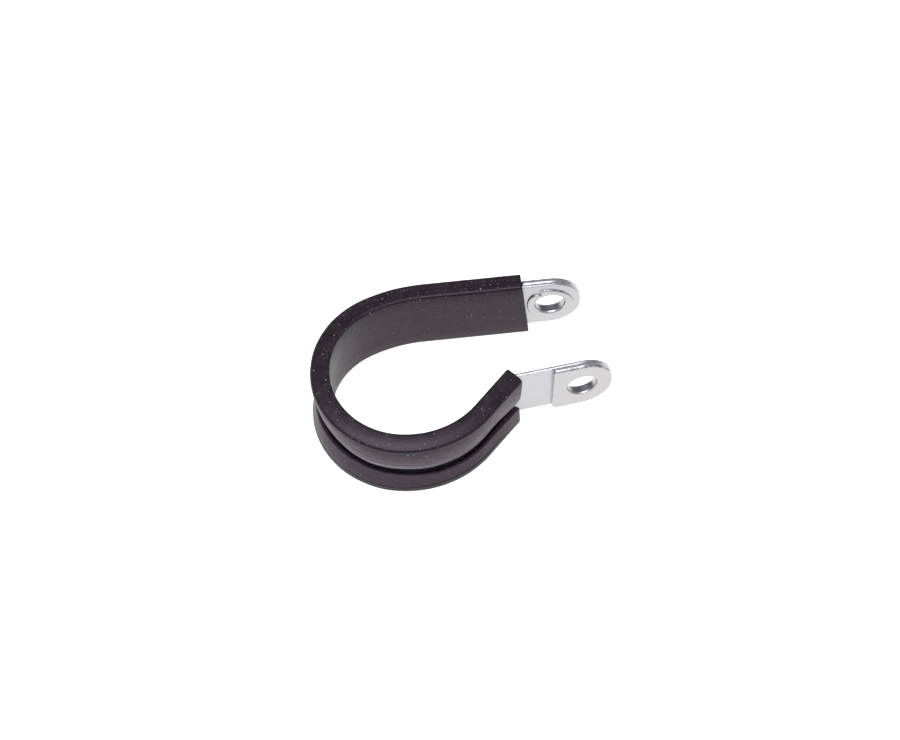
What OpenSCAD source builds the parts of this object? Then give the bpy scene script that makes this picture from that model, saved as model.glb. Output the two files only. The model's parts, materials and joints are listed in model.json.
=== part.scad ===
// Rubber-lined P clip for a pipe or cable, sprung open as supplied.
// A steel strip is bent round the loop and ends in two drilled ears. Each ear is
// stiffened by a plate whose drawn collar is flared over the strip, and an extruded
// rubber channel grips the strip from one ear to the bend of the other.
//
// Frame: origin on the pipe axis at half width, +Z along the pipe, the straight arm
// runs along +X on the +Y side of the loop.

/* [Strip] */
// Width of the strip, along the pipe
band_w = 12; // [12:0.5:15]
// Thickness of the strip
band_t = 0.6; // [0.5:0.05:0.8]

/* [Loop, measured to the middle of the strip] */
// Radius of the round part of the loop
loop_r = 14.4; // [14:0.1:17]
// Angle that the round part covers
loop_angle = 145; // [140:1:150]
// Radius where the loop opens into the straight arm
shoulder_r = 27; // [24:0.5:30]
// Angle of the shoulder
shoulder_angle = 23; // [20:1:26]
// Radius where the loop opens towards the bent arm
heel_r = 16.5; // [15:0.5:20]
// Angle of the heel
heel_angle = 57.5; // [54:0.5:61]
// Straight length of the arm beside the loop, inside the rubber
arm_l = 18.4; // [14:0.1:20]
// Straight length between the heel and the bend
neck_l = 9.1; // [8:0.1:10.5]
// Radius of the bend into the ear
bend_r = 0.7; // [0.6:0.1:1.2]
// Angle of the bend into the ear
bend_angle = 39; // [36:1:42]

/* [Ears] */
// Radius of the hole for the screw
hole_r = 2.65; // [2:0.05:2.7]
// From the hole's centre to the tip of the ear
tip_l = 5.5; // [5.2:0.1:5.8]
// Radius of the two corners of the tip
tip_r = 5.5; // [4.5:0.1:5.5]
// From the straight arm's rubber to the hole's centre
arm_hole_l = 4.5; // [4.3:0.1:7]
// From the bend to the hole's centre in the other ear
bend_hole_l = 12.1; // [10:0.1:15]

/* [Ear plates] */
// Thickness of the plate
plate_t = 1; // [0.8:0.05:1.2]
// From the hole's centre to the plate's inner end
plate_l = 5.3; // [5:0.1:5.6]
// Radius of the plate's two square corners
plate_corner_r = 0.6; // [0.3:0.1:1]
// Rounding of the plate's outer edge
plate_edge_r = 0.3; // [0.2:0.05:0.4]
// Wall of the collar drawn through the strip
collar_t = 0.6; // [0.5:0.05:0.7]
// Radial gap between the collar and the strip's hole
collar_gap = 0.05; // [0.02:0.01:0.1]
// Radius of the flare over the strip
flare_r = 4.2; // [4:0.1:4.5]
// Height of the flare above the strip
flare_h = 0.3; // [0.25:0.05:0.4]
// Rounding of both mouths of the hole
mouth_r = 0.4; // [0.3:0.05:0.5]
// Width of the split in the flare
split_w = 0.2; // [0.1:0.05:0.3]
// Direction of the split, from the tip towards the plate's far side
split_angle = 115; // [100:5:130]

/* [Rubber] */
// Thickness of the rubber inside the strip
base_t = 1.1; // [0.9:0.1:1.4]
// Thickness of the rubber's outer wall at its shoulder
wall_t = 1.9; // [1.7:0.1:2.2]
// Thickness of the lips at their tips
lip_t = 1.45; // [1.3:0.05:1.6]
// Rubber beyond each edge of the strip, on the inside face
side_t = 1.45; // [1.2:0.05:1.8]
// Gap between the two lips
lip_gap = 1.8; // [1:0.1:3]
// Gap between the strip's edges and the ends of the slot
slot_gap = 0.05; // [0.02:0.01:0.15]
// Radius of the domed side faces
crown_r = 7; // [6:0.5:12]
// Rounding of the inner corners
inner_corner_r = 0.4; // [0.2:0.1:0.6]
// Rounding of the outer corners
outer_corner_r = 0.25; // [0.2:0.05:0.4]
// Rounding of the lip tips
lip_corner_r = 0.4; // [0.2:0.1:0.6]
// Slant of the cut end on the straight arm
end_slant = 5.7; // [0:0.1:8]
// Gap round the end of the plate that is tucked under the lips
tuck_gap = 0.1; // [0.05:0.05:0.2]

/* [Hidden] */
$fn = 96;
arc_steps = 5;                       // straight stretches in each rounded corner of the rubber
over = 1;                            // how far cutting tools run past a surface
mm = 0.001;                          // a millimetre in metres

// Headings of the strip, in the order it is walked: in along the straight arm,
// round the loop with the pipe on the left, out along the bent arm.
arm_h = 180;
loop_h = arm_h + shoulder_angle;
heel_h = loop_h + loop_angle;
neck_h = heel_h + heel_angle;
ear_h = neck_h - bend_angle;

// Unit vectors along a heading and to its left, which is the pipe's side
function ahead(h) = [cos(h), sin(h)];
function left(h) = [-sin(h), cos(h)];

// Centres of the arcs and the points between them; the loop's centre is the origin
shoulder_c = (shoulder_r - loop_r) * left(loop_h);
heel_c = (heel_r - loop_r) * left(heel_h);
arm_end = shoulder_c - shoulder_r * left(arm_h);
arm_start = arm_end - arm_l * ahead(arm_h);
neck_start = heel_c - heel_r * left(neck_h);
neck_end = neck_start + neck_l * ahead(neck_h);
bend_c = neck_end - bend_r * left(neck_h);
ear_start = bend_c + bend_r * left(ear_h);

// Centres of the two screw holes
arm_hole = arm_start - arm_hole_l * ahead(arm_h);
bent_hole = ear_start + bend_hole_l * ahead(ear_h);

// Rubber section: x is towards the pipe from the middle of the strip, y is along Z
rubber_in = band_t / 2 + base_t;
rubber_out = band_t / 2 + wall_t;
lip_out = band_t / 2 + lip_t;
rubber_half_w = band_w / 2 + side_t;
slot_half_w = band_w / 2 + slot_gap;

// Collar through the strip
collar_r = hole_r + collar_t;
band_hole_r = collar_r + collar_gap;

// ---- Sweeping along the strip's path ----

// Runs a section straight ahead from the origin, along +X; the section's x points left
module run(l) {
    rotate([90, 0, 90]) linear_extrude(l) children();
}

// Turns a section left from the origin, starting along +X
module turn(r, angle) {
    translate([0, r, 0]) rotate(-90)
        rotate_extrude(angle = angle) translate([r, 0]) mirror([1, 0]) children();
}

// Carries on from the end of such a turn
module after_turn(r, angle) {
    translate([0, r, 0]) rotate(angle) translate([0, -r, 0]) children();
}

// Sweeps a section from lead before the straight arm's rubber to the end of the neck,
// and on round the bend and along the ear if the ear has a length. It is laid out in
// metres and enlarged, which closes its joints exactly.
module sweep_path(lead, ear) {
    scale(1 / mm) translate(mm * [arm_end.x, arm_end.y, 0]) rotate(arm_h) {
        translate([-mm * (lead + arm_l), 0, 0]) run(mm * (lead + arm_l)) scale(mm) children();
        turn(mm * shoulder_r, shoulder_angle) scale(mm) children();
        after_turn(mm * shoulder_r, shoulder_angle) {
            turn(mm * loop_r, loop_angle) scale(mm) children();
            after_turn(mm * loop_r, loop_angle) {
                turn(mm * heel_r, heel_angle) scale(mm) children();
                after_turn(mm * heel_r, heel_angle) {
                    run(mm * neck_l) scale(mm) children();
                    if (ear > 0) translate([mm * neck_l, 0, 0]) mirror([0, 1, 0]) {
                        turn(mm * bend_r, bend_angle) scale(mm) mirror([1, 0]) children();
                        after_turn(mm * bend_r, bend_angle)
                            run(mm * ear) scale(mm) mirror([1, 0]) children();
                    }
                }
            }
        }
    }
}

// Stand a shape on an ear: x points to the tip and z away from the other ear
module on_straight_arm() {
    translate([arm_hole.x, arm_hole.y, 0]) rotate([-90, 0, 0]) children();
}

module on_bent_arm() {
    translate([bent_hole.x, bent_hole.y, 0]) rotate([90, 0, ear_h]) children();
}

// ---- Strip ----

// Rounded tip of an ear: two corners joined by a short flat
module tip_outline() {
    lift = band_w / 2 - tip_r;
    for (side = [-1, 1]) translate([tip_l - tip_r, side * lift]) circle(tip_r);
    translate([0, -lift]) square([tip_l, 2 * lift]);
}

// What is cut from the strip's end and punched through it
module ear_cut() {
    translate([0, 0, -band_t]) linear_extrude(2 * band_t) {
        difference() {
            translate([0, -band_w]) square([tip_l + 2 * over, 2 * band_w]);
            tip_outline();
        }
        circle(band_hole_r);
    }
}

module band() {
    color("gainsboro") difference() {
        sweep_path(arm_hole_l + tip_l + over, bend_hole_l + tip_l + over)
            square([band_t, band_w], center = true);
        on_straight_arm() ear_cut();
        on_bent_arm() ear_cut();
    }
}

// ---- Ear plates ----

// Plate with its outer face at z = plate_t, resting on the strip at z = 0
module plate_body() {
    lift = band_w / 2 - tip_r;
    // square end, with its outer edge rounded along the sides and across the end
    intersection() {
        linear_extrude(plate_t) plate_outline();
        rotate([90, 0, 90]) translate([0, 0, -plate_l])
            linear_extrude(plate_l) plate_side_section(band_w);
        translate([0, band_w / 2, 0]) rotate([90, 0, 0]) linear_extrude(band_w)
            translate([-plate_l, 0]) eased_strip(plate_l + over);
    }
    // rounded tip
    for (side = [-1, 1])
        translate([0, side * lift, 0]) rotate(side > 0 ? 0 : -90)
            rotate_extrude(angle = 90) mirror([1, 0]) translate([-tip_r, 0]) eased_strip(tip_r);
    translate([0, lift, 0]) rotate([90, 0, 0]) linear_extrude(2 * lift)
        mirror([1, 0]) translate([-tip_l, 0]) eased_strip(tip_l);
}

// Section of the plate with its upper left corner rounded
module eased_strip(l) {
    translate([plate_edge_r, 0]) square([l - plate_edge_r, plate_t]);
    square([plate_edge_r, plate_t - plate_edge_r]);
    translate([plate_edge_r, plate_t - plate_edge_r]) intersection() {
        circle(plate_edge_r);
        translate([-plate_edge_r, 0]) square(plate_edge_r);
    }
}

// Section across the plate with both upper corners rounded
module plate_side_section(w) {
    translate([-w / 2, 0]) eased_strip(w / 2);
    mirror([1, 0]) translate([-w / 2, 0]) eased_strip(w / 2);
}

// Outline of the square end, with its two corners rounded
module plate_outline() {
    r = plate_corner_r;
    translate([r - plate_l, -band_w / 2]) square([plate_l - r, band_w]);
    translate([-plate_l, r - band_w / 2]) square([r, band_w - 2 * r]);
    for (side = [-1, 1]) translate([r - plate_l, side * (band_w / 2 - r)]) circle(r);
}

// Section of the collar: it runs through the strip and flares over its far side
module collar_section() {
    difference() {
        union() {
            translate([hole_r, -band_t]) square([collar_t, band_t]);
            translate([hole_r, -band_t - flare_h]) square([flare_r - hole_r, flare_h]);
        }
        mouth_cut(-band_t - flare_h, 1);
    }
}

// Removes the sharp corner of the hole's mouth at height z; up is the way into the metal
module mouth_cut(z, up) {
    translate([hole_r, z]) scale_y(up) difference() {
        translate([-over, -over]) square([over + mouth_r, over + mouth_r]);
        translate([mouth_r, mouth_r]) circle(mouth_r);
    }
}

module scale_y(up) {
    if (up > 0) children(); else mirror([0, 1]) children();
}

// Plate, collar and flare in one piece; the strip lies between z = -band_t and 0
module ear_plate() {
    difference() {
        union() {
            plate_body();
            translate([0, 0, -band_t / 2]) cylinder(r = collar_r, h = band_t / 2 + plate_t / 2);
            rotate_extrude() collar_section();
        }
        translate([0, 0, -band_t - flare_h - over])
            cylinder(r = hole_r, h = band_t + flare_h + plate_t + 2 * over);
        rotate_extrude() mouth_cut(plate_t, -1);
        rotate(-split_angle) translate([collar_r, -split_w / 2, -band_t - flare_h - over])
            cube([flare_r, split_w, flare_h + over]);
    }
}

module straight_arm_plate() {
    color("whitesmoke") on_straight_arm() translate([0, 0, band_t / 2]) ear_plate();
}

module bent_arm_plate() {
    color("whitesmoke") on_bent_arm() translate([0, 0, band_t / 2]) ear_plate();
}

// ---- Rubber ----

function arc(c, r, a, b) = [for (i = [0:arc_steps])
    c + r * [cos(a + (b - a) * i / arc_steps), sin(a + (b - a) * i / arc_steps)]];

// Angle that the domed side face turns through before the outer corner
crown_end = 90 + asin((rubber_in - inner_corner_r + rubber_out - outer_corner_r)
                      / (crown_r - outer_corner_r));
crown_c = [rubber_in - inner_corner_r, rubber_half_w - crown_r];
outer_corner_c = crown_c + (crown_r - outer_corner_r) * [cos(crown_end), sin(crown_end)];

// Upper half of the section, from the inner face over the side to the lip and the slot
upper_half = concat(
    arc([rubber_in, rubber_half_w] - inner_corner_r * [1, 1], inner_corner_r, 0, 90),
    arc(crown_c, crown_r, 90, crown_end),
    arc(outer_corner_c, outer_corner_r, crown_end, 180),
    arc([lip_corner_r - lip_out, lip_gap / 2 + lip_corner_r], lip_corner_r, 180, 270),
    [[-band_t / 2, lip_gap / 2], [-band_t / 2, slot_half_w], [band_t / 2, slot_half_w]]
);
last = len(upper_half) - 1;
lower_half = [for (i = [last:-1:0]) [upper_half[i].x, -upper_half[i].y]];

module rubber_section() {
    polygon(concat(upper_half, lower_half));
}

module rubber_liner() {
    color("dimgray") difference() {
        sweep_path(2 * over, 0) rubber_section();
        // slanted cut at the end of the straight arm
        translate([arm_start.x, arm_start.y, 0]) rotate([0, -end_slant, 0])
            translate([0, -rubber_out - over - rubber_in, -rubber_half_w - over])
                cube([4 * over, 2 * (rubber_out + rubber_in + over), 2 * (rubber_half_w + over)]);
        // room for the end of the plate under the lips
        translate([arm_hole.x - plate_l - tuck_gap, arm_start.y + band_t / 2, -slot_half_w])
            cube([plate_l, plate_t + tuck_gap, 2 * slot_half_w]);
    }
}

band();
rubber_liner();
straight_arm_plate();
bent_arm_plate();
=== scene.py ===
"""Rubber-lined P clip: zinc-plated strip, two ear plates with flared collars, and a rubber channel."""
import json
import math

import bmesh
import bpy
from mathutils import Matrix, Vector, noise
from mathutils.geometry import delaunay_2d_cdt


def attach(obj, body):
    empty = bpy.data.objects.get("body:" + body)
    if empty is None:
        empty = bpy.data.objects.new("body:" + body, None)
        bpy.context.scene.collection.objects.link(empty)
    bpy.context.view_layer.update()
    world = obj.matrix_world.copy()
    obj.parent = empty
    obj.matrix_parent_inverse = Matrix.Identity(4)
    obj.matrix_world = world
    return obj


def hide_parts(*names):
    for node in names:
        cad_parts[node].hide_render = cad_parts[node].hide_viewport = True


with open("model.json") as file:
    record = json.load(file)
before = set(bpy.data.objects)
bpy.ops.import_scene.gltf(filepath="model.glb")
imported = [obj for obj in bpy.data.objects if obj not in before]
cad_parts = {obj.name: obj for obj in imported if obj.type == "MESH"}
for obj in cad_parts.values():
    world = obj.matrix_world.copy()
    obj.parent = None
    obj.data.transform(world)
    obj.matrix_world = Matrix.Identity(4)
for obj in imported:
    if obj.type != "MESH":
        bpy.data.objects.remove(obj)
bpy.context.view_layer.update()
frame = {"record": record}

MM = 0.001
MOUNT = {m["name"]: m for m in frame["record"]["mounts"]}

# ---------------------------------------------------------------- sizes, in millimetres and degrees
BAND_W, BAND_T = 12.0, 0.6
LOOP_R, LOOP_A = 14.4, 145.0
SHOULDER_R, SHOULDER_A = 27.0, 23.0
HEEL_R, HEEL_A = 16.5, 57.5
ARM_L, NECK_L = 18.4, 9.1
BEND_R, BEND_A = 0.7, 39.0
START_HEADING = 180.0
ARM_HOLE, BEND_HOLE = 4.5, 12.1          # from the rubber's end, and from the bend, to the holes
TIP_L, TIP_R = 5.5, 5.5
HOLE_R = MOUNT["bent_arm_hole"]["dims"]["r_mm"]
PLATE_T, PLATE_L = 1.0, 5.3
PLATE_CORNER_R = 0.6
COLLAR_R = HOLE_R + 0.6
FLARE_H = 0.3
IN, OUT = 1.4, 2.2                       # rubber's inner face and outer shoulder, from mid-strip
HALF_IN, HALF_OUT = 7.45, 6.65           # rubber's half width at the inner face and the shoulder
SLOT = BAND_W / 2 + 0.02
SKIN = 0.02                              # room for the rubber's swell, inside its outer shoulder
FACE = OUT - SKIN
STATION_STEP = 0.42                      # between the rubber's rings
SHARP_ANGLE = 46                         # faces that meet at more than this keep a sharp edge
STRIP_HOLE_SIDES, PLATE_HOLE_SIDES = 72, 120


# ---------------------------------------------------------------- the strip's path
def ahead(h):
    return Vector((math.cos(math.radians(h)), math.sin(math.radians(h))))


def left(h):
    return Vector((-math.sin(math.radians(h)), math.cos(math.radians(h))))


class Path:
    """Straights and arcs laid end to end. s is 0 where the rubber ends on the straight arm."""

    def __init__(self):
        shoulder_centre = (SHOULDER_R - LOOP_R) * left(START_HEADING + SHOULDER_A)
        self.start = shoulder_centre - SHOULDER_R * left(START_HEADING) - ARM_L * ahead(START_HEADING)
        self.parts = []
        self.end_of = {}
        s, p, h = 0.0, self.start, START_HEADING
        # a run's length, or a turn's radius and angle
        for name, size, angle in (("arm", ARM_L, 0), ("shoulder", SHOULDER_R, SHOULDER_A),
                                  ("loop", LOOP_R, LOOP_A), ("heel", HEEL_R, HEEL_A),
                                  ("neck", NECK_L, 0), ("bend", BEND_R, -BEND_A),
                                  ("ear", BEND_HOLE + TIP_L, 0)):
            length = size * math.radians(abs(angle)) if angle else size
            self.parts.append((size, angle, s, s + length, p.copy(), h))
            if angle:
                side = 1 if angle > 0 else -1
                centre = p + side * size * left(h)
                h += angle
                p = centre - side * size * left(h)
            else:
                p = p + size * ahead(h)
            s += length
            self.end_of[name] = s

    def at(self, s):
        """(point, heading in degrees) at length s; the straights run on past both ends."""
        if s < 0:
            return self.start + s * ahead(START_HEADING), START_HEADING
        for size, angle, s0, s1, p, h in self.parts:
            if s <= s1:
                break
        if not angle:
            return p + (s - s0) * ahead(h), h
        side = 1 if angle > 0 else -1
        centre = p + side * size * left(h)
        turned = h + side * math.degrees((s - s0) / size)
        return centre - side * size * left(turned), turned

    def place(self, s, out, z):
        """A point out from mid-strip, away from the pipe, at height z; in metres."""
        p, h = self.at(s)
        q = p - out * left(h)
        return Vector((q.x, q.y, z)) * MM


PATH = Path()
RUBBER_L = PATH.end_of["neck"]
BEND_END = PATH.end_of["bend"]


# ---------------------------------------------------------------- curves of one variable
def clamp01(t):
    return max(0.0, min(1.0, t))


def smooth(a, b, x):
    """0 up to a, 1 from b on, and an even rise between."""
    t = clamp01((x - a) / (b - a))
    return t * t * (3 - 2 * t)


def bump(c, w, x):
    """A bell of height 1 at c, down to 0.37 at w on either side."""
    return math.exp(-((x - c) / w) ** 2)


def wander(x, seed, scale):
    """Smooth noise from -1 to 1 along a length."""
    return noise.noise(Vector((x / scale, seed * 7.3, seed * 1.7)))


# ---------------------------------------------------------------- mesh helpers
def join_rings(bm, a, b):
    """Makes the faces between two rings of equal length; gives each with its number."""
    n = len(a)
    for j in range(n):
        k = (j + 1) % n
        yield j, bm.faces.new((a[j], a[k], b[k], b[j]))


def set_uv(face, layer, corners):
    """Corners are in millimetres and are stored in metres."""
    for loop, (u, v) in zip(face.loops, corners):
        loop[layer].uv = (u * MM, v * MM)


def normals_2d(loop):
    n = len(loop)
    out = []
    for i in range(n):
        a, b = Vector(loop[i - 1]), Vector(loop[(i + 1) % n])
        d = (b - a).normalized()
        out.append(Vector((d.y, -d.x)))
    area = sum(loop[i - 1][0] * loop[i][1] - loop[i][0] * loop[i - 1][1] for i in range(n))
    return out if area > 0 else [-v for v in out]


def inset_loop(loop, d):
    """A closed loop moved inwards by d, by its points' normals."""
    return [(p[0] - d * v.x, p[1] - d * v.y) for p, v in zip(loop, normals_2d(loop))]


def arc(cx, cy, r, a0, a1, n):
    return [(cx + r * math.cos(math.radians(a0 + (a1 - a0) * i / n)),
             cy + r * math.sin(math.radians(a0 + (a1 - a0) * i / n))) for i in range(n + 1)]


def fresh(name, bm, materials):
    """A new object from a bmesh, riding on the root body."""
    mesh = bpy.data.meshes.new(name)
    bmesh.ops.recalc_face_normals(bm, faces=bm.faces)
    bm.to_mesh(mesh)
    bm.free()
    for m in materials:
        mesh.materials.append(m)
    obj = bpy.data.objects.new(name, mesh)
    bpy.context.scene.collection.objects.link(obj)
    mesh.shade_smooth()
    mesh.set_sharp_from_angle(angle=math.radians(SHARP_ANGLE))
    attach(obj, "root")
    return obj


# ---------------------------------------------------------------- node helpers
class Nodes:
    """A material with a Principled shader, and short ways to feed it. Values may be numbers or sockets."""

    def __init__(self, name):
        self.mat = bpy.data.materials.new(name)
        self.mat.use_nodes = True
        self.t = self.mat.node_tree
        self.t.nodes.clear()
        out = self.new("ShaderNodeOutputMaterial")
        self.bsdf = self.new("ShaderNodeBsdfPrincipled")
        self.join(self.bsdf, "BSDF", out, "Surface")

    def new(self, kind, **props):
        n = self.t.nodes.new(kind)
        for k, v in props.items():
            setattr(n, k, v)
        return n

    def join(self, a, ao, b, bi):
        self.t.links.new(a.outputs[ao], b.inputs[bi])

    def set(self, n, i, v):
        if hasattr(v, "node"):
            self.t.links.new(v, n.inputs[i])
        else:
            n.inputs[i].default_value = v

    def coords(self, kind, scale=(1, 1, 1)):
        c = self.new("ShaderNodeTexCoord")
        m = self.new("ShaderNodeMapping")
        self.join(c, kind, m, "Vector")
        m.inputs["Scale"].default_value = scale
        return m.outputs["Vector"]

    def noise(self, vec, scale, detail, rough):
        n = self.new("ShaderNodeTexNoise")
        self.set(n, "Vector", vec)
        n.inputs["Scale"].default_value = scale
        n.inputs["Detail"].default_value = detail
        n.inputs["Roughness"].default_value = rough
        return n.outputs["Fac"]

    def span(self, v, a, b, c=0.0, d=1.0):
        """v from a to b made to run smoothly from c to d."""
        n = self.new("ShaderNodeMapRange")
        n.interpolation_type = "SMOOTHSTEP"
        for i, x in enumerate((v, a, b, c, d)):
            self.set(n, i, x)
        return n.outputs["Result"]

    def math(self, op, *v):
        n = self.new("ShaderNodeMath", operation=op)
        for i, x in enumerate(v):
            self.set(n, i, x)
        return n.outputs[0]

    def mix(self, fac, a, b):
        n = self.new("ShaderNodeMix", data_type="RGBA")
        self.set(n, 0, fac)
        for i, x in ((6, a), (7, b)):
            self.set(n, i, x if hasattr(x, "node") else (*x, 1.0))
        return n.outputs[2]

    def split(self, vec):
        n = self.new("ShaderNodeSeparateXYZ")
        self.set(n, 0, vec)
        return n.outputs

    def bump(self, height, strength, distance, normal=None):
        n = self.new("ShaderNodeBump")
        self.set(n, "Height", height)
        self.set(n, "Strength", strength)
        n.inputs["Distance"].default_value = distance
        if normal is not None:
            self.set(n, "Normal", normal)
        return n.outputs["Normal"]


# ---------------------------------------------------------------- materials
SOLID_MM = (1000, 1000, 1000)            # object coordinates in millimetres
SKIN_MM = (1000, 1000, 0)                # UV in millimetres: along the piece, and round its section
DUST_LAYERS = (                          # cells a millimetre, share with dust, least and most size, paleness
    (0.95, 0.75, 0.06, 0.19, 0.85),      # a few clear flakes
    (2.0, 0.65, 0.10, 0.30, 0.38),       # many faint ones
)


def rubber_dust(k, obj):
    """How far a point of the rubber is covered by dust, which lies thicker on the far arm and on top."""
    xyz = k.split(obj)
    far = k.span(xyz[1], -6.0, 12.0, 0.4, 1.0)
    high = k.span(xyz[2], -3.0, 6.5, 0.3, 1.0)
    thick = k.span(k.noise(obj, 0.25, 2, 0.5), 0.35, 0.7, 0.25, 1.0)
    place = k.math("MULTIPLY", k.math("MULTIPLY", far, high), thick)
    skin = k.coords("UV", SKIN_MM)
    dust = None
    for scale, chance, small, large, pale in DUST_LAYERS:
        flake = k.new("ShaderNodeTexVoronoi", feature="F1", voronoi_dimensions="2D")
        warp = k.new("ShaderNodeVectorMath", operation="ADD")
        k.set(warp, 0, skin)
        k.set(warp, 1, k.coords("Object", (90, 90, 90)))
        k.set(flake, "Vector", warp.outputs[0])
        flake.inputs["Scale"].default_value = scale
        pick = k.split(flake.outputs["Color"])
        lucky = k.math("LESS_THAN", pick[0], k.math("MULTIPLY", place, chance))
        size = k.span(pick[1], 0.2, 1.0, small, large)
        near = k.span(flake.outputs["Distance"], k.math("MULTIPLY", size, 0.35), size, 1.0, 0.0)
        shade = k.span(pick[2], 0.0, 1.0, 0.15, pale)
        speck = k.math("MULTIPLY", k.math("MULTIPLY", near, lucky), shade)
        dust = k.math("MAXIMUM", dust, speck) if dust else speck
    return dust


def rubber_material():
    """The vertex colour: red a painted highlight along the upper lip's tip, green paler bloom on the lips
    that is partly a painted reflection, blue the browner inner face, less brown towards its top as painted
    shade.
    """
    k = Nodes("extruded_rubber")
    obj = k.coords("Object", SOLID_MM)
    die = k.noise(k.coords("UV", (16, 900, 0)), 1.0, 4, 0.6)     # lines left by the extruder's die
    mottle = k.noise(obj, 0.42, 4, 0.62)
    grain = k.noise(obj, 5.0, 4, 0.65)
    painted_light_and_tone = k.new("ShaderNodeAttribute", attribute_name="painted_light_and_tone")
    painted_tip_highlight, lip_bloom_and_reflection, inside = k.split(painted_light_and_tone.outputs["Color"])
    black = k.mix(k.span(mottle, 0.32, 0.68), (0.0075, 0.0062, 0.0100), (0.0200, 0.0125, 0.0165))
    brown = k.mix(k.span(mottle, 0.35, 0.65), (0.0110, 0.0040, 0.0085), (0.0330, 0.0130, 0.0235))
    # the inner face browner, and less so towards its top, which is left darker as painted shade
    base = k.mix(inside, black, brown)
    base = k.mix(k.span(die, 0.45, 0.75, 0.0, 0.45), base, (0.0270, 0.0190, 0.0250))
    # paler lips: bloom, partly a painted reflection
    base = k.mix(k.math("MULTIPLY", lip_bloom_and_reflection, 0.8), base, (0.1000, 0.0620, 0.0950))
    patchy = k.span(k.noise(obj, 0.8, 3, 0.6), 0.25, 0.6, 0.55, 1.0)
    # painted highlight: a patchy pale blue-grey line along the upper lip's tip
    base = k.mix(k.math("MULTIPLY", painted_tip_highlight, patchy), base, (0.240, 0.255, 0.290))
    dust = rubber_dust(k, obj)
    k.set(k.bsdf, "Base Color", k.mix(dust, base, (0.33, 0.30, 0.35)))
    rough = k.math("ADD", k.span(mottle, 0.25, 0.75, 0.29, 0.38), k.span(die, 0.3, 0.7, -0.03, 0.05))
    k.set(k.bsdf, "Roughness", k.math("ADD", rough, k.math("MULTIPLY", dust, 0.4)))
    k.bsdf.inputs["IOR"].default_value = 1.38
    k.bsdf.inputs["Specular Tint"].default_value = (1.0, 0.80, 0.98, 1.0)
    n = k.bump(die, 0.45, 0.00003)
    n = k.bump(grain, 0.35, 0.00003, n)
    n = k.bump(mottle, 0.35, 0.00012, n)
    k.set(k.bsdf, "Normal", k.bump(dust, 0.6, 0.00005, n))
    return k.mat


def zinc_face_material(name, warm, cool):
    k = Nodes(name)
    obj = k.coords("Object", SOLID_MM)
    roll = k.noise(k.coords("UV", (60, 2600, 0)), 1.0, 3, 0.6)   # the rolling mill's lines
    cloud = k.noise(obj, 0.33, 3, 0.55)
    fine = k.noise(obj, 7.0, 4, 0.65)
    base = k.mix(k.span(cloud, 0.35, 0.65), warm, cool)
    base = k.mix(k.span(fine, 0.56, 0.75, 0.0, 0.30), base, (0.52, 0.51, 0.54))
    k.set(k.bsdf, "Base Color", base)
    k.bsdf.inputs["Metallic"].default_value = 1.0
    rough = k.math("ADD", k.span(cloud, 0.25, 0.75, 0.30, 0.38), k.span(fine, 0.3, 0.7, -0.03, 0.05))
    k.set(k.bsdf, "Roughness", rough)
    n = k.bump(roll, 0.3, 0.000008)
    n = k.bump(cloud, 0.3, 0.00006, n)
    k.set(k.bsdf, "Normal", k.bump(fine, 0.3, 0.000012, n))
    return k.mat


def zinc_edge_material(name, torn_from, torn_to, dull, pale):
    """A sheared edge, burnished but for a torn zone. UV y is the height on the edge, in metres."""
    k = Nodes(name)
    obj = k.coords("Object", SOLID_MM)
    height = k.split(k.coords("UV", SKIN_MM))[1]
    grit = k.noise(obj, 2.6, 4, 0.75)
    wave = k.noise(k.coords("UV", (700, 0, 0)), 1.0, 2, 0.5)
    torn = k.span(k.math("ADD", height, k.span(wave, 0.25, 0.75, -0.05, 0.05)), torn_from, torn_to)
    upright = k.math("ABSOLUTE", k.split(k.coords("Normal"))[2])
    torn = k.math("MULTIPLY", torn, k.span(upright, 0.15, 0.5))
    dark = k.mix(k.span(grit, 0.42, 0.58), (dull, dull, dull * 1.1), (pale, pale, pale * 1.05))
    bright = k.mix(k.span(grit, 0.38, 0.60), (0.58, 0.58, 0.62), (0.72, 0.72, 0.74))
    k.set(k.bsdf, "Base Color", k.mix(torn, bright, dark))
    k.bsdf.inputs["Metallic"].default_value = 1.0
    rough = k.math("ADD", k.span(torn, 0, 1, 0.30, 0.42), k.span(grit, 0.3, 0.7, -0.04, 0.06))
    k.set(k.bsdf, "Roughness", rough)
    k.set(k.bsdf, "Normal", k.bump(grit, k.span(torn, 0, 1, 0.25, 0.8), 0.00004))
    return k.mat


def zinc_bore_material():
    """The drawn wall of the hole, painted pale where it faces up or down and dark on its sides as painted
    light and shade. UV x runs round the hole and UV y along it, in metres.
    """
    k = Nodes("zinc_bore")
    streak = k.noise(k.coords("UV", (420, 60, 0)), 1.0, 3, 0.6)
    deep = k.split(k.coords("UV", SKIN_MM))[1]
    fine = k.noise(k.coords("Object", SOLID_MM), 6.0, 3, 0.6)
    wall = k.mix(k.span(streak, 0.35, 0.7), (0.20, 0.20, 0.215), (0.40, 0.40, 0.42))
    # painted light and shade: pale where the wall faces up or down, dark streaks on its sides
    upright = k.math("ABSOLUTE", k.split(k.coords("Normal"))[2])
    wall = k.mix(k.span(upright, 0.55, 0.95), (0.70, 0.70, 0.72), wall)
    drawn = k.math("MULTIPLY", k.span(deep, 0.55, 0.85), k.span(deep, 1.35, 1.65, 1.0, 0.0))
    k.set(k.bsdf, "Base Color", k.mix(drawn, (0.62, 0.62, 0.64), wall))
    k.bsdf.inputs["Metallic"].default_value = 1.0
    k.set(k.bsdf, "Roughness", k.span(fine, 0.3, 0.7, 0.28, 0.42))
    n = k.bump(streak, 0.4, 0.00003)
    k.set(k.bsdf, "Normal", k.bump(fine, 0.3, 0.00001, n))
    return k.mat


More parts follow.
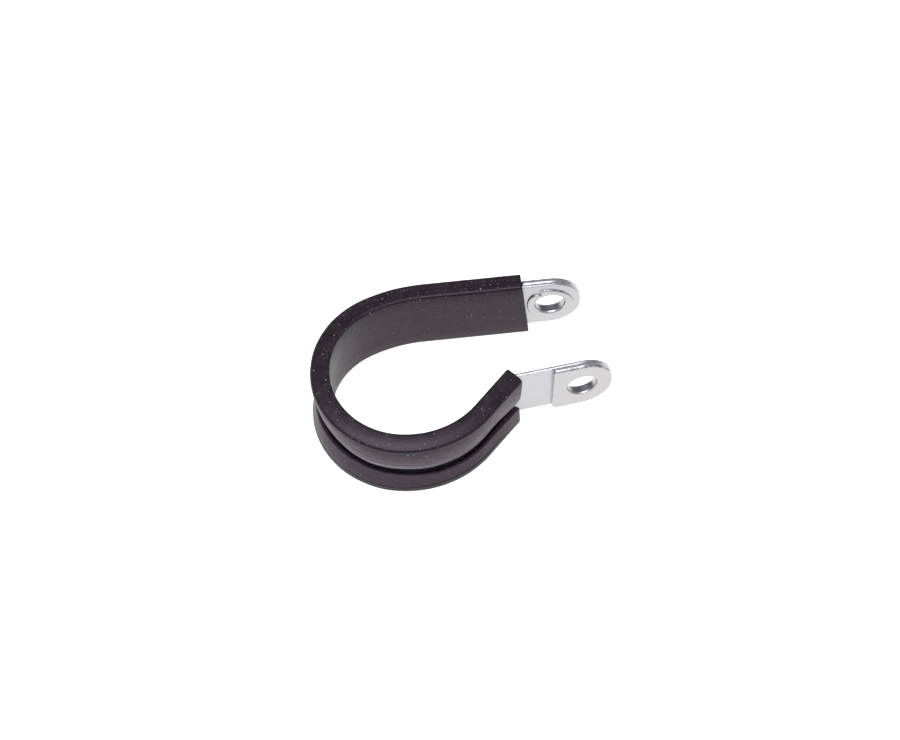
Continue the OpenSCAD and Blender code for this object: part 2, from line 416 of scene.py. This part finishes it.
RUBBER = rubber_material()
STRIP_FACE = zinc_face_material("zinc_strip_face", (0.640, 0.632, 0.650), (0.650, 0.655, 0.680))
PLATE_FACE = zinc_face_material("zinc_plate_face", (0.640, 0.615, 0.600), (0.650, 0.645, 0.655))
STRIP_EDGE = zinc_edge_material("zinc_slit_edge", 0.02, -0.12, 0.42, 0.60)
PLATE_EDGE = zinc_edge_material("zinc_stamped_edge", 0.50, 0.78, 0.16, 0.66)
BORE = zinc_bore_material()

# ---------------------------------------------------------------- the rubber channel
UPPER_TIP = (1.52, ((0.15, 30, 50), (-1.55, 53, 62), (-0.45, 63, 74), (0.75, 77, 86)))
LOWER_TIP = (-1.75, ((-0.10, 30, 50), (-0.55, 56, 64), (-0.65, 64, 74), (0.55, 82, 91)))


def half_section(tip, taper, crease_depth, round_r):
    """(out, height) from mid inner face, over the side, down the lip and back along the slot."""
    lean, lean_h = 0.16, 3.2                 # the inner face leans out by lean over its last lean_h
    corner_out, corner_r = 0.14, 0.42
    pts = []
    for t in (0.12, 0.3, 0.5, 0.62, 0.72, 0.8, 0.86, 0.91):
        z = t * HALF_IN
        pts.append((-IN + lean * clamp01((z - HALF_IN + lean_h) / lean_h) ** 2, z))
    pts += arc(-IN + corner_out + corner_r, HALF_IN - corner_r, corner_r, 172, 90, 7)
    # the domed side, turning down towards the shoulder
    shoulder_turn = math.radians(22)
    x0 = -IN + corner_out + corner_r
    x1 = FACE - round_r * (1 - math.sin(shoulder_turn))
    drop = HALF_IN - HALF_OUT
    for i in range(1, 11):
        t = i / 10
        pts.append((x0 + (x1 - x0) * t, HALF_IN - drop * (0.16 * t + 0.34 * t ** 2.6)))
    zc = pts[-1][1] - round_r * math.cos(shoulder_turn) + 0.01
    pts += arc(FACE - round_r, zc, round_r, 66, 4, 8)
    # a faint crease under the shoulder, then the lip's face, which tapers to the tip
    for below, depth in ((0.12, 0.4), (0.24, 1.0), (0.40, 0.7), (0.60, 0.25), (0.80, 0.0)):
        pts.append((FACE - crease_depth * depth, zc - 0.05 - below))
    tip_r, lip_points = 0.18, 18
    high, low = zc - 1.0, tip + tip_r
    for i in range(lip_points + 1):
        z = high + (low - high) * (i / lip_points) ** 0.8
        gentle = max(0.0, tip + 4.6 - z)
        steep = max(0.0, tip + 2.7 - z)
        pts.append((FACE - taper * (0.07 * gentle + 0.075 * steep + 0.018 * steep ** 2), z))
    pts += arc(pts[-1][0] - tip_r * 0.97, low - tip_r * 0.1, tip_r, -22, -90, 4)
    # the lip's end recedes towards the strip, and the slot runs round the strip's edge
    gap, back = BAND_T / 2 + 0.01, 1.1
    pts += [(gap + 0.55, tip + 0.3 * back), (gap + 0.3, tip + 0.65 * back), (gap, tip + back)]
    pts += [(gap, tip + back + (SLOT - tip - back) * t) for t in (0.3, 0.6, 0.9)]
    pts += [(gap, SLOT), (0.0, SLOT), (-gap, SLOT), (-gap, SLOT * 0.6), (-gap, SLOT * 0.2)]
    return pts


def lip_tips(s):
    """Heights of the upper and the lower lip's tip: the two wander as extruded rubber does."""
    tips = []
    for height, steps in (UPPER_TIP, LOWER_TIP):
        for rise, start, stop in steps:
            height += rise * smooth(start, stop, s)
        tips.append(height)
    return tips[0] + 0.08 * wander(s, 1, 6.0), tips[1] + 0.10 * wander(s, 2, 5.0)


def end_shift(s, z):
    """The two ends aren't cut square: the far one slants, the near one's lower lip is shorter."""
    start = (0.02 + 0.099 * z) * (1 - smooth(0, 6, s))
    stop = (-0.15 + 0.022 * z) * smooth(RUBBER_L - 6, RUBBER_L, s)
    return start + stop


def section_at(s):
    up, low = lip_tips(s)
    crease = 0.035 + 0.01 * wander(s, 9, 4.0)
    taper = 1.0 - 0.6 * smooth(RUBBER_L - 9, RUBBER_L - 1, s)
    upper_round = 0.72 + 0.25 * smooth(RUBBER_L - 10, RUBBER_L, s)
    top = half_section(up, taper, crease, upper_round)
    bottom = [(x, -z) for x, z in half_section(-low, taper, crease, 0.45)][::-1]
    return top + bottom


def lip_light_and_tone_masks(s, x, z):
    """How far the skin gets a painted highlight along the upper lip's tip, paler bloom on the lips that is
    partly a painted reflection, and brown inside, less so towards the top as painted shade.
    """
    up, low = lip_tips(s)
    to_tip = z - up if z > (up + low) / 2 else 2.5 + low - z
    outer = smooth(0.75, 0.95, x) * (1 - smooth(HALF_OUT - 1.4, HALF_OUT - 0.6, abs(z)))
    # a painted highlight along the upper lip's tip, strongest near the loop's bottom
    painted_tip_highlight = math.exp(-(max(0.0, to_tip - 0.5) / 0.6) ** 2) * bump(62, 13, s)
    # paler towards the tip: bloom, partly a painted reflection
    bloom_and_painted_reflection = math.exp(-max(0.0, to_tip - 0.5) / 2.6)
    # brown on the inner face, less towards its top as painted shade
    inside = (1 - smooth(-1.3, -0.9, x)) * (1 - 0.75 * smooth(HALF_IN - 6.5, HALF_IN - 1.5, z))
    return (outer * painted_tip_highlight, outer * bloom_and_painted_reflection, inside, 1.0)


def skin_point(s, x, z, swell):
    """The outer faces swell and ripple a little, and the inner face ripples far less."""
    ripple = 0.025 * noise.noise(Vector((s / 2.2, z / 2.0, x / 2.0)))
    if x > 1.2:
        x = min(OUT - 0.005, x + (swell + ripple))
    elif x < -1.2 and abs(z) < SLOT - 0.5:
        x -= max(0.0, 0.02 * smooth(0.5, 1.5, -x) * ripple)
    return PATH.place(s + end_shift(s, z), x, max(-HALF_IN, min(HALF_IN, z)))


def make_rubber():
    bm = bmesh.new()
    uv = bm.loops.layers.uv.new("UVMap")
    painted_light_and_tone = bm.verts.layers.float_color.new("painted_light_and_tone")
    stations = [0.0, 0.03, 0.09]
    s = 0.4
    while s < RUBBER_L - 0.3:
        stations.append(s)
        s += STATION_STEP
    stations += [RUBBER_L - 0.09, RUBBER_L - 0.03, RUBBER_L]
    rounded = {0: 0.09, 1: 0.035, len(stations) - 2: 0.035, len(stations) - 1: 0.09}
    seam = 0.2                               # the section's last side, from its last point to its first
    rings, rounds = [], []
    for i, s in enumerate(stations):
        loop = section_at(s)
        if i in rounded:
            loop = inset_loop(loop, rounded[i])
        swell = 0.02 * wander(s, 4, 3.0)
        around = [0.0]
        for a, b in zip(loop, loop[1:]):
            around.append(around[-1] + math.dist(a, b))
        ring = []
        for x, z in loop:
            vert = bm.verts.new(skin_point(s, x, z, swell))
            vert[painted_light_and_tone] = lip_light_and_tone_masks(s, x, z)
            ring.append(vert)
        rings.append(ring)
        rounds.append(around + [around[-1] + seam])
    for i in range(len(rings) - 1):
        near, far = stations[i], stations[i + 1]
        for j, face in join_rings(bm, rings[i], rings[i + 1]):
            v0, v1 = rounds[i][j], rounds[i][j + 1]
            set_uv(face, uv, ((near, v0), (near, v1), (far, v1), (far, v0)))
    for ring, section in ((rings[0], section_at(0)), (rings[-1], section_at(RUBBER_L))):
        face = bm.faces.new(ring)
        set_uv(face, uv, section)
        bmesh.ops.triangulate(bm, faces=[face])
    obj = fresh("rubber_channel", bm, [RUBBER])
    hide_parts("rubber_liner")


# ---------------------------------------------------------------- stamped metal
def hole_rings(bm, centre, profile, sides, place):
    """The rings of a hole's wall, each as its points in plan and its vertices."""
    made = []
    for radius, height, _ in profile:
        flat, ring = [], []
        for j in range(sides):
            a = 2 * math.pi * j / sides
            r = radius(a) if callable(radius) else radius
            q = (centre[0] + r * math.cos(a), centre[1] + r * math.sin(a))
            flat.append(q)
            ring.append(bm.verts.new(place(q[0], q[1], height)))
        made.append((flat, ring))
    return made


def fill_flat(bm, uv, loops, holes):
    """Triangles between an outline, which comes first, and the rings of the holes."""
    flat, verts, edges = [], [], []
    for pts, ring in loops:
        base = len(flat)
        flat += [Vector(p) for p in pts]
        verts += ring
        edges += [(base + i, base + (i + 1) % len(pts)) for i in range(len(pts))]
    points, _, triangles, origins, _, _ = delaunay_2d_cdt(flat, edges, [], 1, 1e-6)
    where = [o[0] for o in origins]
    for tri in triangles:
        middle = sum((points[i] for i in tri), Vector((0, 0))) / 3
        if any(math.dist(middle, centre) < math.dist(ring_pts[0], centre) * 0.99
               for (centre, _, _), (ring_pts, _) in zip(holes, loops[1:])):
            continue
        face = bm.faces.new([verts[where[i]] for i in tri])
        set_uv(face, uv, [points[i] for i in tri])


def slab(name, outline, rim, holes, place, mats):
    """A sheet with rounded edges. rim is the edge's (inset, height) from the bottom face to the top,
    with a third value where the sheet's face has begun.
    Each hole is (centre, profile, sides). Its profile is [(radius, height, material)] from the top face
    to the bottom, with a radius that is a number or a function of the angle.
    place maps (u, v, height) to a point."""
    bm = bmesh.new()
    uv = bm.loops.layers.uv.new("UVMap")
    around = [0.0]
    for a, b in zip(outline, outline[1:] + outline[:1]):
        around.append(around[-1] + math.dist(a, b))
    flats, rings = [], []
    for inset, h, *_ in rim:
        loop = inset_loop(outline, inset)
        flats.append(loop)
        rings.append([bm.verts.new(place(u, v, h)) for u, v in loop])
    for i in range(len(rings) - 1):
        h0, h1 = rim[i][1], rim[i + 1][1]
        for j, face in join_rings(bm, rings[i], rings[i + 1]):
            face.material_index = 0 if len(rim[i + 1]) > 2 else 1
            u0, u1 = around[j], around[j + 1]
            set_uv(face, uv, ((u0, h0), (u1, h0), (u1, h1), (u0, h1)))
    tops, bottoms = [(flats[-1], rings[-1])], [(flats[0], rings[0])]
    ring_step = 0.15                         # between a hole's rings in the UV map
    for centre, profile, sides in holes:
        made = hole_rings(bm, centre, profile, sides, place)
        run = 0.0
        for i in range(len(made) - 1):
            for j, face in join_rings(bm, made[i][1], made[i + 1][1]):
                face.material_index = profile[i + 1][2]
                u0, u1 = (2 * math.pi * HOLE_R * n / sides for n in (j, j + 1))
                v1 = run + ring_step
                set_uv(face, uv, ((u0, run), (u1, run), (u1, v1), (u0, v1)))
            run += ring_step
        tops.append(made[0])
        bottoms.append(made[-1])
    for loops in (tops, bottoms):
        fill_flat(bm, uv, loops, holes)
    obj = fresh(name, bm, mats)
    weighted = obj.modifiers.new("weighted", "WEIGHTED_NORMAL")
    weighted.weight = 60
    weighted.keep_sharp = True
    return obj


def tip_points(hole, direction):
    """The rounded tip of an ear, from the -v side to the +v side if direction is 1."""
    lift, points = BAND_W / 2 - TIP_R, 22
    quarters = arc(TIP_L - TIP_R, -lift, TIP_R, -90, 0, points)
    quarters += arc(TIP_L - TIP_R, lift, TIP_R, 0, 90, points)
    pts = [(hole + direction * u, v) for u, v in quarters]
    return pts if direction > 0 else pts[::-1]


def make_band():
    hole_a, hole_b = -ARM_HOLE, BEND_END + BEND_HOLE
    us = [hole_a + 0.6]
    while us[-1] < RUBBER_L - 0.4:
        us.append(us[-1] + 0.55)
    u = RUBBER_L - 0.2
    while u < BEND_END + 0.2:
        us.append(u)
        u += 0.08
    us += [BEND_END + 0.6, BEND_END + 1.6, BEND_END + 3.5, BEND_END + 6, BEND_END + 9, hole_b - 0.6]
    half = BAND_W / 2
    outline = [(u, -half) for u in us] + tip_points(hole_b, 1)
    outline += [(u, half) for u in us[::-1]] + tip_points(hole_a, -1)
    # a slit edge, barrel-shaped
    rim = [(0.24, -0.3), (0.13, -0.285), (0.055, -0.235), (0.02, -0.17), (0.0, -0.08), (0.0, 0.06),
           (0.01, 0.16), (0.035, 0.23), (0.09, 0.28), (0.17, 0.3)]
    wall = COLLAR_R + 0.05
    holes = [((h, 0.0), [(wall, 0.3, 1), (wall, -0.3, 1)], STRIP_HOLE_SIDES) for h in (hole_a, hole_b)]
    obj = slab("strip", outline, rim, holes, lambda u, v, h: PATH.place(u, h, v), [STRIP_FACE, STRIP_EDGE])
    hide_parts("band")


def flare_radius(a, seed, split):
    """The flare's ragged outline, with a step-like split at one angle."""
    gap = (math.degrees(a) - split + 180) % 360 - 180
    body = 4.12 + 0.08 * math.sin(a * 2 + seed) + 0.06 * math.sin(a * 3 + 2.1 * seed)
    if gap < 0:
        return body + 0.25 * bump(-30, 24, gap) - 0.75 * bump(0, 9, gap)
    return body + 0.45 * bump(0, 42, gap)


def collar_profile(seed, split):
    """The collar's wall from the plate's face, through the hole, over the flare and back under it."""
    mouth, curl = 0.38, 0.5
    foot, crown = -BAND_T, -BAND_T - FLARE_H

    def part(share, lip):
        """A ring at a share of the way from the hole to the flare's outline."""
        return lambda a: HOLE_R + share * (flare_radius(a, seed, split) - HOLE_R) - lip

    profile = [(HOLE_R + mouth * (1 - math.cos(a)), PLATE_T - mouth * (1 - math.sin(a)), 2)
               for a in (math.radians(d) for d in (90, 72, 54, 36, 18, 0))]
    profile += [(HOLE_R, h, 2) for h in (0.35, 0.1, -0.15)]
    profile += [(HOLE_R + curl * (1 - math.cos(a)), crown + curl * (1 - math.sin(a)), 2 if d < 40 else 0)
                for d, a in ((d, math.radians(d)) for d in (0, 18, 36, 54, 72, 90))]
    profile += [(part(0.62, 0.0), crown, 0), (part(0.8, 0.0), crown + 0.005, 0),
                (part(1.0, 0.1), crown + 0.02, 0), (part(1.0, 0.035), crown + 0.06, 0),
                (part(1.0, 0.0), crown + 0.13, 1), (part(1.0, 0.0), foot + 0.005, 1),
                (COLLAR_R, foot + 0.005, 1), (COLLAR_R, 0.0, 1)]
    return profile


def make_plate(name, node, hole, turn, seed):
    """hole is the hole's centre in plan; turn maps the plate's x, y, height to the frame's axes."""
    r, half = PLATE_CORNER_R, BAND_W / 2
    outline = [(-PLATE_L, y) for y in (2.5, 0.0, -2.5)]
    outline += arc(-PLATE_L + r, -half + r, r, 180, 270, 7)
    outline += [(x, -half) for x in (-3.6, -2.4, -1.2)] + tip_points(0.0, 1)
    outline += [(x, half) for x in (-1.2, -2.4, -3.6)]
    outline += arc(-PLATE_L + r, half - r, r, 90, 180, 7)
    # a stamped edge, with a small radius below, and above a large one that rolls into the face
    top, roll = 0.30, 0.035
    rim = [(0.11, 0.0), (0.065, 0.02), (0.045, 0.07), (0.015, 0.2), (0.0, 0.33), (0.012, 0.46)]
    rim += [(0.03 + top * (1 - math.cos(a)), PLATE_T - roll - top * (1 - math.sin(a)))
            for a in (math.radians(d) for d in (10, 24, 40, 56, 72, 86))]
    rim += [(top + 0.14, PLATE_T - roll * 0.4, 0), (top + 0.27, PLATE_T, 0)]

    def place(u, v, h):
        q = turn @ Vector((u, v, h))
        return Vector((hole.x + q.x, hole.y + q.y, q.z)) * MM

    holes = [((0.0, 0.0), collar_profile(seed, split=245), PLATE_HOLE_SIDES)]
    obj = slab(name, outline, rim, holes, place, [PLATE_FACE, PLATE_EDGE, BORE])
    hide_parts(node)


def make_plates():
    p, _ = PATH.at(-ARM_HOLE)
    lift = Vector((0, BAND_T / 2))
    turn = Matrix(((1, 0, 0), (0, 0, 1), (0, -1, 0)))
    make_plate("straight_arm_ear_plate", "straight_arm_plate", p + lift, turn, 0.4)
    p, h = PATH.at(BEND_END + BEND_HOLE)
    out = -left(h)
    along = ahead(h)
    turn = Matrix(((along.x, 0, out.x), (along.y, 0, out.y), (0, 1, 0)))
    make_plate("bent_arm_ear_plate", "bent_arm_plate", p + out * BAND_T / 2, turn, 2.3)


make_rubber()
make_band()
make_plates()

# ---------------------------------------------------------------- floor, light and camera
FLOOR_WHITE = 0.88                       # the floor's own colour
FLOOR_LIFT = 0.75                        # light added in the camera's view, so that the floor is white there
MIRROR_SHARE, MIRROR_WHITE = 0.75, 1.14  # how far the mirrored floor is plain white, and how bright
ROOM_COLOUR, ROOM_LIGHT = (0.94, 0.92, 1.0, 1), 0.34
BACKDROP_LIGHT = 1.2                     # the world in the camera's view
SOFTBOX_AT, SOFTBOX_SIZE, SOFTBOX_WATTS = (-0.065, -0.16, 0.42), (0.33, 0.54), 2.55
LENS, SENSOR_W = 120.16, 36.0
CAMERA_TURN, CAMERA_TILT = math.radians(6.826), math.radians(58.48)
CAMERA_TARGET, CAMERA_AWAY = Vector((8.265, 2.674, 0.957)), 531.1


def make_floor():
    bm = bmesh.new()
    bmesh.ops.create_grid(bm, x_segments=1, y_segments=1, size=3.0)
    mesh = bpy.data.meshes.new("floor")
    bm.to_mesh(mesh)
    bm.free()
    floor = bpy.data.objects.new("floor", mesh)
    floor.location = (0, 0, -HALF_IN * MM)
    bpy.context.scene.collection.objects.link(floor)
    mat = bpy.data.materials.new("white_table")
    mat.use_nodes = True
    t = mat.node_tree
    t.nodes.clear()
    out = t.nodes.new("ShaderNodeOutputMaterial")
    ray = t.nodes.new("ShaderNodeLightPath")
    diffuse = t.nodes.new("ShaderNodeBsdfDiffuse")
    diffuse.inputs["Color"].default_value = (FLOOR_WHITE, FLOOR_WHITE, FLOOR_WHITE, 1)
    in_view = t.nodes.new("ShaderNodeMath")
    in_view.operation = "MULTIPLY"
    in_view.inputs[1].default_value = FLOOR_LIFT
    t.links.new(ray.outputs["Is Camera Ray"], in_view.inputs[0])
    lift = t.nodes.new("ShaderNodeEmission")
    t.links.new(in_view.outputs[0], lift.inputs["Strength"])
    table = t.nodes.new("ShaderNodeAddShader")
    t.links.new(diffuse.outputs[0], table.inputs[0])
    t.links.new(lift.outputs[0], table.inputs[1])
    mirrored = t.nodes.new("ShaderNodeMath")
    mirrored.operation = "MULTIPLY"
    mirrored.inputs[1].default_value = MIRROR_SHARE
    t.links.new(ray.outputs["Is Glossy Ray"], mirrored.inputs[0])
    white = t.nodes.new("ShaderNodeEmission")
    white.inputs["Strength"].default_value = MIRROR_WHITE
    mix = t.nodes.new("ShaderNodeMixShader")
    t.links.new(mirrored.outputs[0], mix.inputs[0])
    t.links.new(table.outputs[0], mix.inputs[1])
    t.links.new(white.outputs[0], mix.inputs[2])
    t.links.new(mix.outputs[0], out.inputs["Surface"])
    mesh.materials.append(mat)


def make_world():
    world = bpy.data.worlds.new("studio")
    world.use_nodes = True
    t = world.node_tree
    t.nodes.clear()
    out = t.nodes.new("ShaderNodeOutputWorld")
    room = t.nodes.new("ShaderNodeBackground")
    room.inputs["Color"].default_value = ROOM_COLOUR
    room.inputs["Strength"].default_value = ROOM_LIGHT
    white = t.nodes.new("ShaderNodeBackground")
    white.inputs["Color"].default_value = (1, 1, 1, 1)
    white.inputs["Strength"].default_value = BACKDROP_LIGHT
    ray = t.nodes.new("ShaderNodeLightPath")
    mix = t.nodes.new("ShaderNodeMixShader")
    t.links.new(ray.outputs["Is Camera Ray"], mix.inputs[0])
    t.links.new(room.outputs[0], mix.inputs[1])
    t.links.new(white.outputs[0], mix.inputs[2])
    t.links.new(mix.outputs[0], out.inputs["Surface"])
    bpy.context.scene.world = world


def make_softbox():
    """A rectangular lamp that shines straight down."""
    data = bpy.data.lights.new("overhead_softbox", "AREA")
    data.shape = "RECTANGLE"
    data.size, data.size_y = SOFTBOX_SIZE
    data.energy = SOFTBOX_WATTS
    lamp = bpy.data.objects.new("overhead_softbox", data)
    lamp.location = SOFTBOX_AT
    lamp.rotation_mode = "QUATERNION"
    lamp.rotation_quaternion = Vector((0, 0, -1)).to_track_quat("-Z", "Y")
    bpy.context.scene.collection.objects.link(lamp)


def make_camera():
    data = bpy.data.cameras.new("camera")
    data.sensor_fit = "HORIZONTAL"
    data.sensor_width = SENSOR_W
    data.lens = LENS
    data.clip_start, data.clip_end = 0.01, 10
    cam = bpy.data.objects.new("camera", data)
    view = Vector((math.sin(CAMERA_TURN) * math.cos(CAMERA_TILT),
                   math.cos(CAMERA_TURN) * math.cos(CAMERA_TILT), -math.sin(CAMERA_TILT)))
    cam.location = CAMERA_TARGET * MM - view * CAMERA_AWAY * MM
    cam.rotation_mode = "QUATERNION"
    cam.rotation_quaternion = view.to_track_quat("-Z", "Y")
    bpy.context.scene.collection.objects.link(cam)
    bpy.context.scene.camera = cam


make_floor()
make_world()
make_softbox()
make_camera()
bpy.context.scene.view_settings.view_transform = "Standard"
